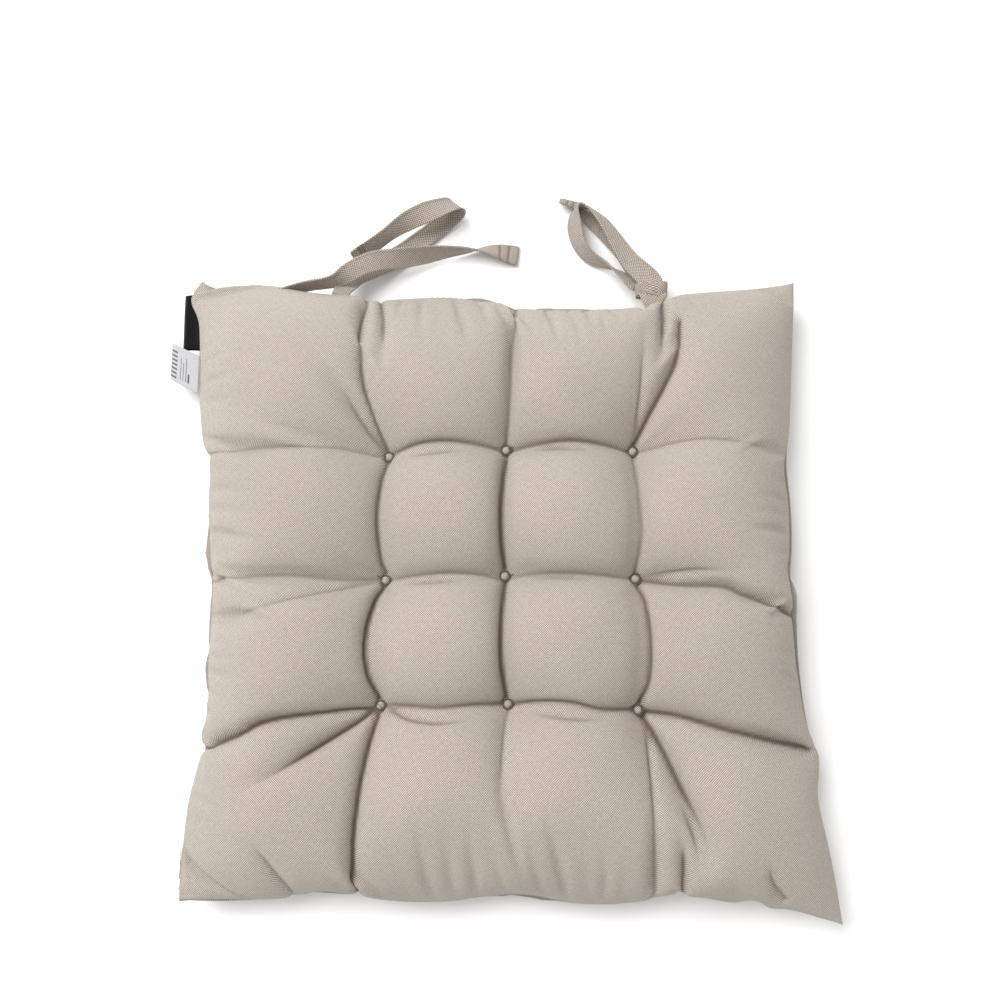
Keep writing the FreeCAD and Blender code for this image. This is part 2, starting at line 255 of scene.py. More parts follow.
def make_tie_stitching(name, frames, rows, edges, start):
    """Stitching along a tie's edges, and rows across it.

    A row's place is its distance from the far end or, if negative, from the root.
    """
    places, sides, ups, far, cup, wide = frames
    points, faces, uvs = [], [], []

    def spot(s, x, face):
        at = [np.array([np.interp(s, far, v[:, i]) for i in range(3)]) for v in (places, sides, ups)]
        height = np.interp(s, far, cup) * ((2 * x / TIE_WIDTH) ** 2 - 0.4) + face * CLOTH_LIFT
        return at[0] + at[1] * x * np.interp(s, far, wide) + at[2] * height, at[2] * face

    for face in (1, -1):
        for x in edges:
            for s in np.arange(start, far[-1] - 3, STITCH_STEP):
                a, up = spot(s, x, face)
                b, _ = spot(s + STITCH_LENGTH, x, face)
                add_stitch(points, faces, uvs, a, b, unit(up))
        for back in rows:
            s = far[-1] - back if back > 0 else -back
            for i in range(ROW_STITCHES):
                x = ROW_START + ROW_STEP * i
                a, up = spot(s, x, face)
                b, _ = spot(s, x + ROW_STITCH, face)
                add_stitch(points, faces, uvs, a, b, unit(up))
    return add_mesh(name, points, faces, uvs, MM)


ties = {}
for name, route, body, edges, rows, start, seed in (
        ("left_tie_a", LEFT_TIE_A, "left_ties", (-5.9,), (7, 10), 8, 11),
        ("left_tie_b", LEFT_TIE_B, "left_ties", (-5.9,), (8, 15, -44), 10, 12),
        ("right_tie_a", RIGHT_TIE_A, "right_ties", (5.9,), (7,), 14, 13),
        ("right_tie_b", RIGHT_TIE_B, "right_ties", (5.9,), (6, 11), 14, 14)):
    ribbon, frames = make_ribbon(name + "_ribbon", route, [row for row in rows if row > 0], seed)
    rows_piece = make_tie_stitching(name + "_sewing", frames, rows, edges, start)
    stand_in(ribbon, body, name)
    stand_in(rows_piece, body, name + "_stitching")
    ties[name] = (ribbon, rows_piece, frames)


def make_wrap():
    """The half-knot's turn of cloth round the right pair, a soft band with rounded ends."""
    along_band, ring_points = 26, 40
    points, uvs = [], []
    centre = np.array(WRAP_CENTRE)
    for k in range(along_band):
        v = k / (along_band - 1)
        swell = math.sin(math.pi * v) ** 0.5
        for i in range(ring_points):
            turn = 2 * math.pi * i / ring_points
            c, s = math.cos(turn), math.sin(turn)
            x = WRAP_HALF_WIDTH * math.copysign(abs(c) ** 0.55, c) * (0.94 + 0.06 * v)
            z = (WRAP_HALF_HEIGHT + 0.9 * swell) * math.copysign(abs(s) ** 0.7, s)
            z += 0.25 * math.sin(5 * turn + 4 * v)
            y = WRAP_LENGTH * (v - 0.5) + 0.5 * math.sin(2 * turn) * v + 0.3 * c
            points.append(centre + (x, y, z))
            uvs.append((turn * 0.0115, 0.0092 * v))
    inner = []
    for place in points:
        out = np.array((place[0] - centre[0], 0, place[2] - centre[2]))
        inner.append(place - unit(out) * WRAP_THICK)
    faces = []
    count = len(points)

    def at(k, i, layer):
        return layer * count + k * ring_points + i % ring_points

    for k in range(along_band - 1):
        for i in range(ring_points):
            faces.append([at(k, i, 0), at(k + 1, i, 0), at(k + 1, i + 1, 0), at(k, i + 1, 0)])
            faces.append([at(k, i, 1), at(k, i + 1, 1), at(k + 1, i + 1, 1), at(k + 1, i, 1)])
    last = along_band - 1
    for i in range(ring_points):
        faces.append([at(0, i, 0), at(0, i + 1, 0), at(0, i + 1, 1), at(0, i, 1)])
        faces.append([at(last, i, 0), at(last, i, 1), at(last, i + 1, 1), at(last, i + 1, 0)])
    return add_mesh("right_knot_band", points + inner, faces, uvs + uvs, MM)


wrap = make_wrap()
stand_in(wrap, "right_ties", "right_knot_wrap")
for name, length in (("left_tie_a", 0.215), ("left_tie_b", 0.185),
                     ("right_tie_a", 0.185), ("right_tie_b", 0.115)):
    ribbon, rows_piece, frames = ties[name]

# ---------------------------------------------------------------- the cover's cloth, solved

CUT = 0.2440              # half side of a panel as cut, at the seam
FLAT_SCALE = 1.115        # how much further apart the tufts are on the flat cloth than on the pad
SEAM_HEIGHT = 0.027
TOP_TUFT_HEIGHT = 0.042
BOTTOM_TUFT_HEIGHT = 0.013
TAUT = 0.65               # how hard the filling pushes, per square of the cloth's spacing
LUMPY = 0.35              # how unevenly it does so
DAMPING = 0.9
SHEAR = 0.22
BEND = 0.12
TUCK = 0.10               # share of the cloth gathered up along the lines between tufts
TUCK_WIDE = 7             # how far from those lines, in millimetres
SEAM_TUCK = 0.065         # share of the cloth that the seam draws up
SEAM_TUCK_WIDE = 0.016    # how far in from the seam
VALLEY = 3.0              # how hard the creases hold the cloth down while it is solved
LEVELS = ((36, 400), (71, 300), (141, 260), (281, 90))   # grid points along a side, and rounds of solving
GATHER = 0.85             # share by which the cloth closes up at the bottom of a crease
GATHER_REACH = 2.9        # how far from the bottom it does so, in millimetres
SHARP = 0.58              # how much narrower the creases are pressed than they are held
PAINTED_LINE_HALF_WIDTH = 0.95               # half width of the painted dark shade line at the bottom of a crease, in millimetres
SEAM_GROOVE = 0.0003      # how far in the seam lies from the turned edge
SMOOTHING = 4             # rounds of evening out the directions in which the creases are pressed
DEEPEST = 4.6             # depth of the deepest crease, in millimetres
FILL_START = 0.014        # how far in from the seam the filling pushes in full
HOLD_START = 0.035        # and how far in the creases hold in full
UNDER_FADE = 0.022        # how far under the seam the top's creases run on
PIN_REACH = 0.0035        # how far from its middle a tuft holds the flat cloth
REST_GAP = 0.0006         # between the ground and the lowest cloth
# Each corner's side along X and along Y, and how far from it the pad stays unfilled
CORNERS = ((-1, 1, 0.022), (1, 1, 0.045), (-1, -1, 0.055), (1, -1, 0.075))

# Where each tuft is on the finished pad, in millimetres
TUFTS = {
    "front_left": (-86, -87), "front_centre": (3, -86), "front_right": (94, -90),
    "middle_left": (-84, 1), "middle_centre": (1, 4), "middle_right": (94, 2),
    "back_left": (-83, 91), "back_centre": (2, 96), "back_right": (94, 95),
}
ROWS, COLUMNS = ("front", "middle", "back"), ("left", "centre", "right")

# Each side's seam from one corner to the next: place along the side, and distance out from the centre
LEFT_SIDE = [(-221, 225), (-206, 224), (-179, 223.5), (-152, 221), (-125, 215), (-112, 212.5), (-97, 210),
             (-79, 210), (-60, 211.5), (-33, 211), (0, 211), (32, 214.5), (61, 216.5), (81, 216.5),
             (92, 218), (107, 223), (137, 226.5), (160, 227.5), (184, 229), (197, 230), (206, 233),
             (214, 237), (221, 235.5), (230.5, 228.5)]
RIGHT_SIDE = [(-236, 234), (-206, 230.5), (-179, 226), (-152, 221), (-135, 222.5), (-121, 223),
              (-107, 217), (-97, 214.5), (-60, 210), (-33, 208.5), (-8, 208), (6, 203.5), (21, 208.5),
              (61, 209.5), (88, 206), (107, 211.5), (137, 214.5), (184, 218), (215, 220.5), (230, 221)]
BACK_SIDE = [(-228.5, 230.5), (-219, 225), (-206, 225.5), (-187, 228), (-170, 227), (-150, 223),
             (-126, 220.5), (-108, 219.5), (-96, 213), (-86, 216), (-71, 217.5), (-40, 218), (-20, 215.5),
             (0, 211), (20, 208), (56, 207), (81, 205), (98, 203), (108, 202), (116, 206), (124, 216),
             (135, 220.5), (149, 222), (187, 225), (210, 228), (221, 230)]
FRONT_SIDE = [(-224, 219), (-202, 219.5), (-175, 219.5), (-151, 218.5), (-127, 214), (-112, 215),
              (-88, 219), (-65, 221), (-37, 220.5), (-15, 217.5), (4, 216), (22, 217), (46, 221.5),
              (70, 222.5), (87, 221.5), (104, 219.5), (119, 213), (136, 217.5), (160, 221.5), (172, 218),
              (184, 225), (200, 226), (212, 229), (234, 236)]

# Creases in the top: depth and reach in millimetres, whether it fades at its start and end, and its run
CREASES = [
    (4.6, 3.6, 0, 0, [(2, 92), (-1, 58), (-1, 29), (1, 8)]),
    (4.6, 3.6, 0, 0, [(1, 0), (-1, -28), (-1, -56), (2, -82)]),
    (3.0, 4.5, 0, 0, [(2, 100), (4, 132), (6, 169), (9, 212)]),
    (1.6, 5.0, 0, 1, [(3, -90), (0, -111), (-3, -152)]),
    (3.6, 3.8, 0, 0, [(-84, 87), (-87, 70), (-89, 43), (-87, 16), (-84, 5)]),
    (4.4, 3.6, 0, 0, [(-85, -3), (-90, -16), (-95, -40), (-94, -63), (-87, -83)]),
    (2.4, 4.5, 0, 0, [(94, 91), (96, 58), (97, 30), (94, 6)]),
    (4.0, 3.6, 0, 0, [(95, -2), (99, -16), (101, -42), (100, -70), (95, -86)]),
    (3.8, 4.0, 0, 0, [(-84, 94), (-94, 117), (-102, 148), (-104, 185), (-103, 216)]),
    (2.2, 4.5, 0, 1, [(-86, 93), (-102, 115), (-121, 145)]),
    (3.2, 3.8, 0, 1, [(-92, 216), (-89, 192), (-87, 158)]),
    (2.0, 5.5, 0, 0, [(-87, 91), (-120, 95), (-152, 94), (-217, 95)]),
    (4.4, 3.8, 0, 0, [(95, 99), (104, 118), (116, 141), (125, 162), (128, 190)]),
    (3.4, 3.8, 1, 0, [(114, 160), (117, 185), (118, 214)]),
    (2.0, 4.5, 0, 1, [(94, 99), (98, 129), (102, 183)]),
    (2.0, 5.5, 0, 1, [(98, 95), (142, 100), (200, 92)]),
    (2.0, 5.5, 0, 0, [(-88, 1), (-115, 0), (-152, 2), (-212, 1)]),
    (1.8, 4.5, 0, 1, [(-88, 0), (-143, -14), (-200, -30)]),
    (3.6, 3.8, 0, 0, [(98, 1), (125, -3), (153, -5), (170, -12), (209, -24)]),
    (1.6, 4.5, 0, 1, [(98, 3), (130, 6), (160, 5)]),
    (4.4, 3.6, 0, 0, [(-90, -89), (-120, -92), (-161, -98), (-184, -108), (-216, -118)]),
    (4.6, 3.6, 0, 1, [(-89, -90), (-113, -106), (-147, -128), (-172, -142)]),
    (4.6, 3.6, 0, 0, [(-87, -91), (-92, -111), (-96, -131), (-99, -151), (-102, -184), (-101, -216)]),
    (4.4, 3.4, 0, 0, [(98, -91), (122, -95), (163, -106), (216, -118)]),
    (4.6, 3.6, 0, 1, [(96, -93), (108, -116), (121, -144), (134, -171), (140, -192)]),
    (2.6, 4.5, 0, 0, [(95, -94), (99, -106), (101, -144), (102, -184), (103, -216)]),
    (3.6, 3.8, 1, 0, [(121, -178), (122, -196), (122, -216)]),
    (2.2, 4.0, 1, 1, [(118, -150), (128, -172), (132, -196)]),
    (2.6, 3.4, 0, 0, [(-79, 93), (-60, 98), (-39, 99.5), (-17, 98), (-2, 96)]),
    (1.8, 3.4, 1, 1, [(-74, 88), (-50, 91), (-22, 93)]),
    (3.0, 3.4, 0, 0, [(6, 96), (26, 98), (48, 99.5), (70, 98), (90, 95)]),
    (1.8, 3.4, 1, 1, [(14, 93), (40, 94), (66, 92)]),
    (1.8, 3.6, 0, 0, [(-80, 1), (-59, 3), (-38, 4.5), (-17, 4), (-3, 2)]),
    (1.6, 3.4, 1, 1, [(-74, -3), (-50, -2), (-22, 0)]),
    (1.9, 3.6, 0, 0, [(5, 3), (26, 4), (47, 4), (68, 3), (90, 2)]),
    (1.6, 3.4, 1, 1, [(12, 1), (40, 1), (70, -1)]),
    (3.0, 3.2, 0, 0, [(-82, -87), (-65, -88), (-44, -89), (-20, -87), (-1, -86)]),
    (2.8, 3.2, 0, 1, [(-80, -90), (-66, -96), (-46, -99), (-18, -97)]),
    (3.4, 3.2, 0, 0, [(7, -86), (25, -85), (46, -86), (67, -90), (90, -90)]),
    (2.0, 3.2, 1, 1, [(14, -91), (34, -95), (58, -97), (76, -94)]),
    (2.4, 4.0, 0, 1, [(192, -218), (182, -205), (178, -190)]),
    (2.2, 5.0, 1, 0, [(-170, -178), (-158, -196), (-146, -214)]),
]


def smooth_rise(x):
    x = np.clip(x, 0, 1)
    return x * x * (3 - 2 * x)


def smooth_line(places, steps=14):
    """Points close together on a smooth line through a few places."""
    p = np.array(places, float)
    p = np.concatenate([[2 * p[0] - p[1]], p, [2 * p[-1] - p[-2]]])
    t = np.linspace(0, 1, steps, endpoint=False)[:, None]
    parts = []
    for a, b, c, d in zip(p, p[1:], p[2:], p[3:]):
        parts.append(0.5 * (2 * b + (c - a) * t + (2 * a - 5 * b + 4 * c - d) * t ** 2
                            + (3 * b - a - 3 * c + d) * t ** 3))
    return np.concatenate(parts + [p[-2:-1]])


def flat_grid(n):
    """The flat cloth's coordinates, in metres, on an n by n grid."""
    along = np.linspace(-CUT, CUT, n)
    return np.stack(np.meshgrid(along, along, indexing="ij"), axis=-1)


def first_shape(n):
    """A low pillow over the flat cloth, top and bottom, to start from."""
    flat = flat_grid(n)
    s = flat / CUT
    edge = (1 - s[..., 0] ** 4) * (1 - s[..., 1] ** 4)
    cloth = np.zeros((2, n, n, 3))
    cloth[..., :2] = flat * 0.93
    cloth[0, ..., 2] = SEAM_HEIGHT + 0.030 * edge
    cloth[1, ..., 2] = SEAM_HEIGHT - 0.024 * edge
    return cloth


def finer(cloth, n):
    """The same shape on an n by n grid."""
    old = np.linspace(0, 1, cloth.shape[1])
    new = np.linspace(0, 1, n)
    low = np.clip(np.searchsorted(old, new, side="right") - 1, 0, len(old) - 2)
    part = (new - old[low]) / (old[1] - old[0])
    rows = cloth[:, low] * (1 - part)[None, :, None, None] + cloth[:, low + 1] * part[None, :, None, None]
    return rows[:, :, low] * (1 - part)[None, None, :, None] + rows[:, :, low + 1] * part[None, None, :, None]


def clumps(n, seed, cells=9):
    """Gentle unevenness from -1 to 1 over an n by n grid, the same at every n."""
    field = np.random.default_rng(seed).uniform(-1, 1, (1, cells, cells, 1))
    for size in (2 * cells, 4 * cells):
        field = finer(field, size)
        padded = np.pad(field[0, ..., 0], 1, mode="edge")
        field[0, ..., 0] = (padded[:-2, 1:-1] + padded[2:, 1:-1] + padded[1:-1, :-2] + padded[1:-1, 2:]) / 4
    return finer(field, n)[0, ..., 0]


def spring(a, b, rest, pull, push):
    """Moves two sets of points towards their rest distance apart."""
    gap = b - a
    length = np.sqrt((gap * gap).sum(-1, keepdims=True)) + 1e-12
    error = (length - rest) / length
    move = gap * (0.5 * np.where(error > 0, pull, push) * error)
    a += move
    b -= move


def hold_shape(cloth, rest):
    """One round of the cloth's stretch, shear and bending; rest is the spacing at each grid point."""
    for start in (0, 1):
        a, b, r = cloth[:, start:-1:2], cloth[:, start + 1::2], rest[start:-1:2]
        spring(a, b, r, 1.0, 0.5)
        spring(a[:, :, :-1], b[:, :, 1:], r[:, :-1] * 2 ** 0.5, SHEAR, 0.4 * SHEAR)
        spring(a[:, :, 1:], b[:, :, :-1], r[:, 1:] * 2 ** 0.5, SHEAR, 0.4 * SHEAR)
        spring(cloth[:, :, start:-1:2], cloth[:, :, start + 1::2], rest[:, start:-1:2], 1.0, 0.5)
    for start in range(4):
        b = cloth[:, start + 2::4]
        a = cloth[:, start:-2:4][:, :b.shape[1]]
        spring(a, b, 2 * rest[start:-2:4][:b.shape[1]], 0.0, BEND)
        b = cloth[:, :, start + 2::4]
        a = cloth[:, :, start:-2:4][:, :, :b.shape[2]]
        spring(a, b, 2 * rest[:, start:-2:4][:, :b.shape[2]], 0.0, BEND)


def line_distance(xy, p, q):
    """The square of each point's distance from a straight line's stretch."""
    p, q = np.array(p, float), np.array(q, float)
    d = q - p
    t = np.clip(((xy - p) @ d) / (d @ d), 0, 1)
    return ((xy - p - t[..., None] * d) ** 2).sum(-1)


def tucked(n):
    """The share of the cloth's spacing left where the seam and the lines between tufts gather it."""
    xy = flat_grid(n) / MM / FLAT_SCALE
    near = np.full((n, n), 1e9)
    names = [f"{row}_{column}" for row in ROWS for column in COLUMNS]
    for i, j in [(k, k + 1) for k in (0, 1, 3, 4, 6, 7)] + [(k, k + 3) for k in range(6)]:
        near = np.minimum(near, line_distance(xy, TUFTS[names[i]], TUFTS[names[j]]))
    inset = CUT - np.abs(flat_grid(n)).max(-1)
    return 1 - TUCK * np.exp(-near / TUCK_WIDE ** 2) - SEAM_TUCK * np.exp(-(inset / SEAM_TUCK_WIDE) ** 2)


def outward(cloth):
    """Unit normals that point out of the pad."""
    normal = unit(np.cross(np.gradient(cloth, axis=1), np.gradient(cloth, axis=2)))
    normal[1] *= -1
    return normal


def crease_hold(cloth):
    """How much each point of the top is held down by the creases, from 0 to 1."""
    xy = cloth[0, ..., :2].reshape(-1, 2) / MM
    hold = np.zeros(len(xy))
    for depth, reach, _, _, places in CREASES:
        near = np.full(len(xy), 1e9)
        for p, q in zip(places, places[1:]):
            near = np.minimum(near, line_distance(xy, p, q))
        hold = np.maximum(hold, depth / DEEPEST * np.exp(-near / reach ** 2))
    return hold.reshape(cloth.shape[1:3])


def seam_targets(n):
    """Where each seam point should lie in plan, for the four sides."""
    s = np.linspace(-1, 1, n)

    def side(points):
        line = smooth_line(points) * MM
        at = line[0, 0] + (line[-1, 0] - line[0, 0]) * (s + 1) / 2
        return at, np.interp(at, line[:, 0], line[:, 1])

    return side(LEFT_SIDE), side(RIGHT_SIDE), side(FRONT_SIDE), side(BACK_SIDE)


def sew(cloth, targets, grip):
    """Joins the two panels at the seam and draws the seam to its place in plan."""
    (la, lo), (ra, ro), (fa, fo), (ba, bo) = targets
    sides = ((np.s_[:, 0, :], -lo, la), (np.s_[:, -1, :], ro, ra),
             (np.s_[:, :, 0], fa, -fo), (np.s_[:, :, -1], ba, bo))
    for where, x, y in sides:
        line = cloth[where].mean(axis=0)
        line[:, 0] += grip * (x - line[:, 0])
        line[:, 1] += grip * (y - line[:, 1])
        line[:, 2] += 0.02 * (SEAM_HEIGHT - line[:, 2])
        cloth[where] = line


def tuft_pins(n):
    """For each tuft, the grid points that it holds and where it holds them."""
    flat = flat_grid(n)
    pins = []
    for x, y in TUFTS.values():
        place = np.array((x, y)) * MM
        away = flat - place * FLAT_SCALE
        distance = np.sqrt((away ** 2).sum(-1))
        held = distance <= max(PIN_REACH, distance.min() + 1e-9)
        pins.append((held, place + away[held]))
    return pins


def solve_cover():
    """Both panels of the cover, sewn, tufted and filled, on the finest grid."""
    cloth = first_shape(LEVELS[0][0])
    for n, rounds in LEVELS:
        cloth = finer(cloth, n)
        h = 2 * CUT / (n - 1)
        flat = flat_grid(n)
        inset = CUT - np.abs(flat).max(-1)
        fill = smooth_rise(inset / FILL_START)
        for x, y, reach in CORNERS:
            fill *= smooth_rise(np.sqrt(((flat - np.array((x, y)) * CUT) ** 2).sum(-1)) / reach)
        push = np.stack([fill * (1 + LUMPY * clumps(n, 3)), fill * (1 + LUMPY * clumps(n, 5))]) * TAUT * h * h
        targets, pins = seam_targets(n), tuft_pins(n)
        rest = (h * tucked(n))[..., None]
        before = cloth.copy()
        for k in range(rounds):
            if k % 20 == 0:
                force = push.copy()
                force[0] -= VALLEY * TAUT * h * h * crease_hold(cloth) * smooth_rise(inset / HOLD_START)
            step = (cloth - before) * DAMPING
            before = cloth.copy()
            cloth = cloth + step + outward(cloth) * force[..., None]
            for _ in range(2):
                hold_shape(cloth, rest)
                sew(cloth, targets, 0.3)
                for held, place in pins:
                    cloth[:, held, :2] = place
                    cloth[0, held, 2] = TOP_TUFT_HEIGHT
                    cloth[1, held, 2] = BOTTOM_TUFT_HEIGHT
                cloth[1, ..., 2] = np.maximum(cloth[1, ..., 2], REST_GAP)
    return cloth


def press_creases(cloth):
    """Draws the cloth sharply into each crease.

    Returns the shape, how deep each point went, and how much painted dark shade each gets from being close to
    a crease's bottom.
    """
    n = cloth.shape[1]
    flat = flat_grid(n)
    inset = (CUT - np.abs(flat).max(-1)).reshape(-1)
    normals = outward(cloth)
    edge = np.zeros((n, n), bool)
    edge[0] = edge[-1] = edge[:, 0] = edge[:, -1] = True
    for _ in range(SMOOTHING):
        wide = np.pad(normals, ((0, 0), (1, 1), (1, 1), (0, 0)), mode="edge")
        normals = unit(wide[:, :-2, 1:-1] + wide[:, 2:, 1:-1] + wide[:, 1:-1, :-2] + wide[:, 1:-1, 2:])
    shared = unit(normals[0, edge] + normals[1, edge])
    normals[:, edge] = shared
    shape, went, painted_line = cloth.reshape(2, -1, 3).copy(), np.zeros((2, n * n)), np.zeros((2, n * n))
    strength = np.stack([np.ones(n * n), smooth_rise(1 - inset / UNDER_FADE)])
    for which in (0, 1):
        start = cloth[which].reshape(-1, 3)
        facing = normals[which].reshape(-1, 3)
        for depth, reach, fades_in, fades_out, places in CREASES:
            line = smooth_line(places)
            heading = unit(np.gradient(line, axis=0))
            far = distances(line)
            part = far / far[-1]
            share_along = np.ones(len(line))
            if fades_in:
                share_along *= smooth_rise(part / 0.4)
            if fades_out:
                share_along *= smooth_rise((1 - part) / 0.5)
            low, high = line.min(0) - 25, line.max(0) + 25
            xy = start[:, :2] / MM
            close = np.nonzero(((xy > low) & (xy < high)).all(1) & (strength[which] > 0))[0]
            gap = line[None] - xy[close, None]
            distance = (gap ** 2).sum(-1)
            nearest = distance.argmin(1)
            gap = gap[np.arange(len(close)), nearest]
            slide = (gap * heading[nearest]).sum(1) * ((nearest > 0) & (nearest < len(line) - 1))
            gap -= heading[nearest] * slide[:, None]
            away = np.sqrt((gap ** 2).sum(1))
            share = share_along[nearest] * strength[which, close]
            pull = GATHER * np.exp(-(away / GATHER_REACH) ** 2) * share
            left = away * (1 - pull)
            deep = depth * MM * np.exp(-left / (SHARP * reach)) * share
            gain = np.maximum(deep - went[which, close], 0)
            new = gain / (deep + 1e-9)
            shape[which, close] -= facing[close] * gain[:, None]
            shape[which, close, :2] += gap * MM * (pull * new)[:, None]
            went[which, close] += gain
            # painted shade: a dark line along the bottom of the crease
            painted_line_shade = depth / DEEPEST * share * np.exp(-(left / PAINTED_LINE_HALF_WIDTH) ** 2)
            painted_line[which, close] = np.maximum(painted_line[which, close], painted_line_shade)
    shape = shape.reshape(2, n, n, 3)
    shape[:, edge] = shape[:, edge].mean(axis=0) - shared * SEAM_GROOVE
    shape[1, ..., 2] = np.maximum(shape[1, ..., 2], REST_GAP)
    return shape, went.reshape(2, n, n), painted_line.reshape(2, n, n)


cover, pressed, painted_crease_line = press_creases(solve_cover())

# ---------------------------------------------------------------- pieces of the pad

CLOTH_THICK = 0.0007
INNER_STRIDE = 4
PAINTED_SHADE_FULL_DEPTH = 0.0045        # how deep the cloth goes into a crease where its painted halo of shade is full
PAINTED_HALO = 0.07               # how much painted shade reaches past the bottom of a crease
FILL_STRIDE = 4
FILL_INSET = 14           # grid spans between the seam and the wadding's edge
FILL_CELL = 0.003
FILL_CLEAR = 2            # cells over which the wadding keeps below the lowest cloth
FILL_GAP = 0.002
FILL_LEAST = 0.0004       # half the wadding's least thickness


def grid_faces(ids, flip):
    a, b, c, d = ids[:-1, :-1], ids[1:, :-1], ids[1:, 1:], ids[:-1, 1:]
    faces = np.stack([a, b, c, d], axis=-1).reshape(-1, 4)
    return (faces[:, ::-1] if flip else faces).tolist()


def rim(ids):
    """The grid's outer points in order round it."""
    return np.concatenate([ids[:-1, 0], ids[-1, :-1], ids[:0:-1, -1], ids[0, :0:-1]])


def closed_sheet(name, first, second, flat=None, flip=False, scale=MM):
    """A closed piece between two grids of points; flip turns its faces over."""
    ids = np.arange(first.shape[0] * first.shape[1]).reshape(first.shape[:2])
    count = ids.size
    loop = rim(ids)
    following = np.roll(loop, -1)
    a, b = (loop, following) if flip else (following, loop)
    faces = grid_faces(ids, flip) + grid_faces(ids + count, not flip)
    faces += np.stack([a, b, b + count, a + count], axis=-1).tolist()
    points = np.concatenate([first.reshape(-1, 3), second.reshape(-1, 3)])
    return add_mesh(name, points, faces, None if flat is None else np.concatenate([flat, flat]), scale)


def make_panel(name, which):
    """One panel of the cover as a closed thin sheet."""
    outer = cover[which]
    n = outer.shape[0]
    normal = outward(cover)[which]
    coarse = np.s_[::INNER_STRIDE, ::INNER_STRIDE]
    up = 1 if which == 0 else -1
    lowest = outer[..., 2] * up
    for _ in range(INNER_STRIDE):
        padded = np.pad(lowest, 1, mode="edge")
        lowest = np.minimum.reduce([lowest, padded[:-2, 1:-1], padded[2:, 1:-1],
                                    padded[1:-1, :-2], padded[1:-1, 2:]])
    inner = outer - normal * CLOTH_THICK
    level = np.maximum(lowest - 0.5 * CLOTH_THICK, up * cover[..., 2].mean(axis=0) + 0.3 * CLOTH_THICK)
    centre = np.s_[1:-1, 1:-1]
    inner[..., 2][centre] = up * np.minimum(inner[..., 2] * up, level)[centre]
    inner = inner[coarse]
    m = inner.shape[0]
    outer_ids = np.arange(n * n).reshape(n, n)
    inner_ids = n * n + np.arange(m * m).reshape(m, m)
    flip = which == 1
    faces = grid_faces(outer_ids, flip) + grid_faces(inner_ids, not flip)
    out, into = rim(outer_ids), rim(inner_ids)
    for k in range(len(into)):
        ring = [out[(k * INNER_STRIDE + j) % len(out)] for j in range(INNER_STRIDE, -1, -1)]
        ring += [into[k], into[(k + 1) % len(into)]]
        faces.append([int(i) for i in (ring[::-1] if flip else ring)])
    flat = flat_grid(n)
    uvs = np.concatenate([flat.reshape(-1, 2), flat[coarse].reshape(-1, 2)])
    points = np.concatenate([outer.reshape(-1, 3), inner.reshape(-1, 3)])
    piece = add_mesh(name, points, faces, uvs)
    # painted shade in the creases: a soft halo from how deep the cloth went, and the dark line at each bottom
    fold = np.maximum(PAINTED_HALO * smooth_rise(pressed[which] / PAINTED_SHADE_FULL_DEPTH), painted_crease_line[which].clip(0, 1))
    paint_fold_shade(piece, np.concatenate([fold.ravel(), fold[coarse].ravel()]))
    return piece


def make_filling():
    """The wadding as one closed lump inside the cover, well clear of its creases and its seam."""
    low = cover[..., :2].min(axis=(0, 1, 2))
    place = ((cover[..., :2] - low) / FILL_CELL).astype(int) + FILL_CLEAR
    size = tuple(place.max(axis=(0, 1, 2)) + 1 + FILL_CLEAR)
    roof, ground = np.full(size, 1.0), np.full(size, -1.0)
    np.minimum.at(roof, (place[0, ..., 0], place[0, ..., 1]), cover[0, ..., 2])
    np.maximum.at(ground, (place[1, ..., 0], place[1, ..., 1]), cover[1, ..., 2])
    for _ in range(FILL_CLEAR):
        for shift in (1, -1):
            for axis in (0, 1):
                roof = np.minimum(roof, np.roll(roof, shift, axis=axis))
                ground = np.maximum(ground, np.roll(ground, shift, axis=axis))
    coarse = np.s_[FILL_INSET:-FILL_INSET:FILL_STRIDE, FILL_INSET:-FILL_INSET:FILL_STRIDE]
    plan = cover.mean(axis=0)[..., :2][coarse]
    at = ((plan - low) / FILL_CELL).astype(int) + FILL_CLEAR
    upper = roof[at[..., 0], at[..., 1]] - FILL_GAP
    lower = ground[at[..., 0], at[..., 1]] + FILL_GAP
    middle = (upper + lower) / 2
    upper, lower = np.maximum(upper, middle + FILL_LEAST), np.minimum(lower, middle - FILL_LEAST)
    above, below = (np.concatenate([plan, height[..., None]], axis=-1) for height in (upper, lower))
    return closed_sheet("filling", above, below, scale=1.0)


def tube(points, faces, uvs, line, thick, sides=8):
    """A round thread along a line of points, closed at its ends, in millimetres."""
    line = np.asarray(line, float)
    along = unit(np.gradient(line, axis=0))
    far = distances(line)
    side = unit(np.cross(along[0], (0.31, 0.2, 0.93)))
    first = len(points)
    for k, (middle, direction) in enumerate(zip(line, along)):
        side = unit(side - direction * (side @ direction))
        up = np.cross(direction, side)
        for i in range(sides):
            turn = 2 * math.pi * i / sides
            points.append(middle + thick * (math.cos(turn) * side + math.sin(turn) * up))
            uvs.append((far[k] * MM, turn * thick * MM))
    join_rings(faces, first, len(line), sides)


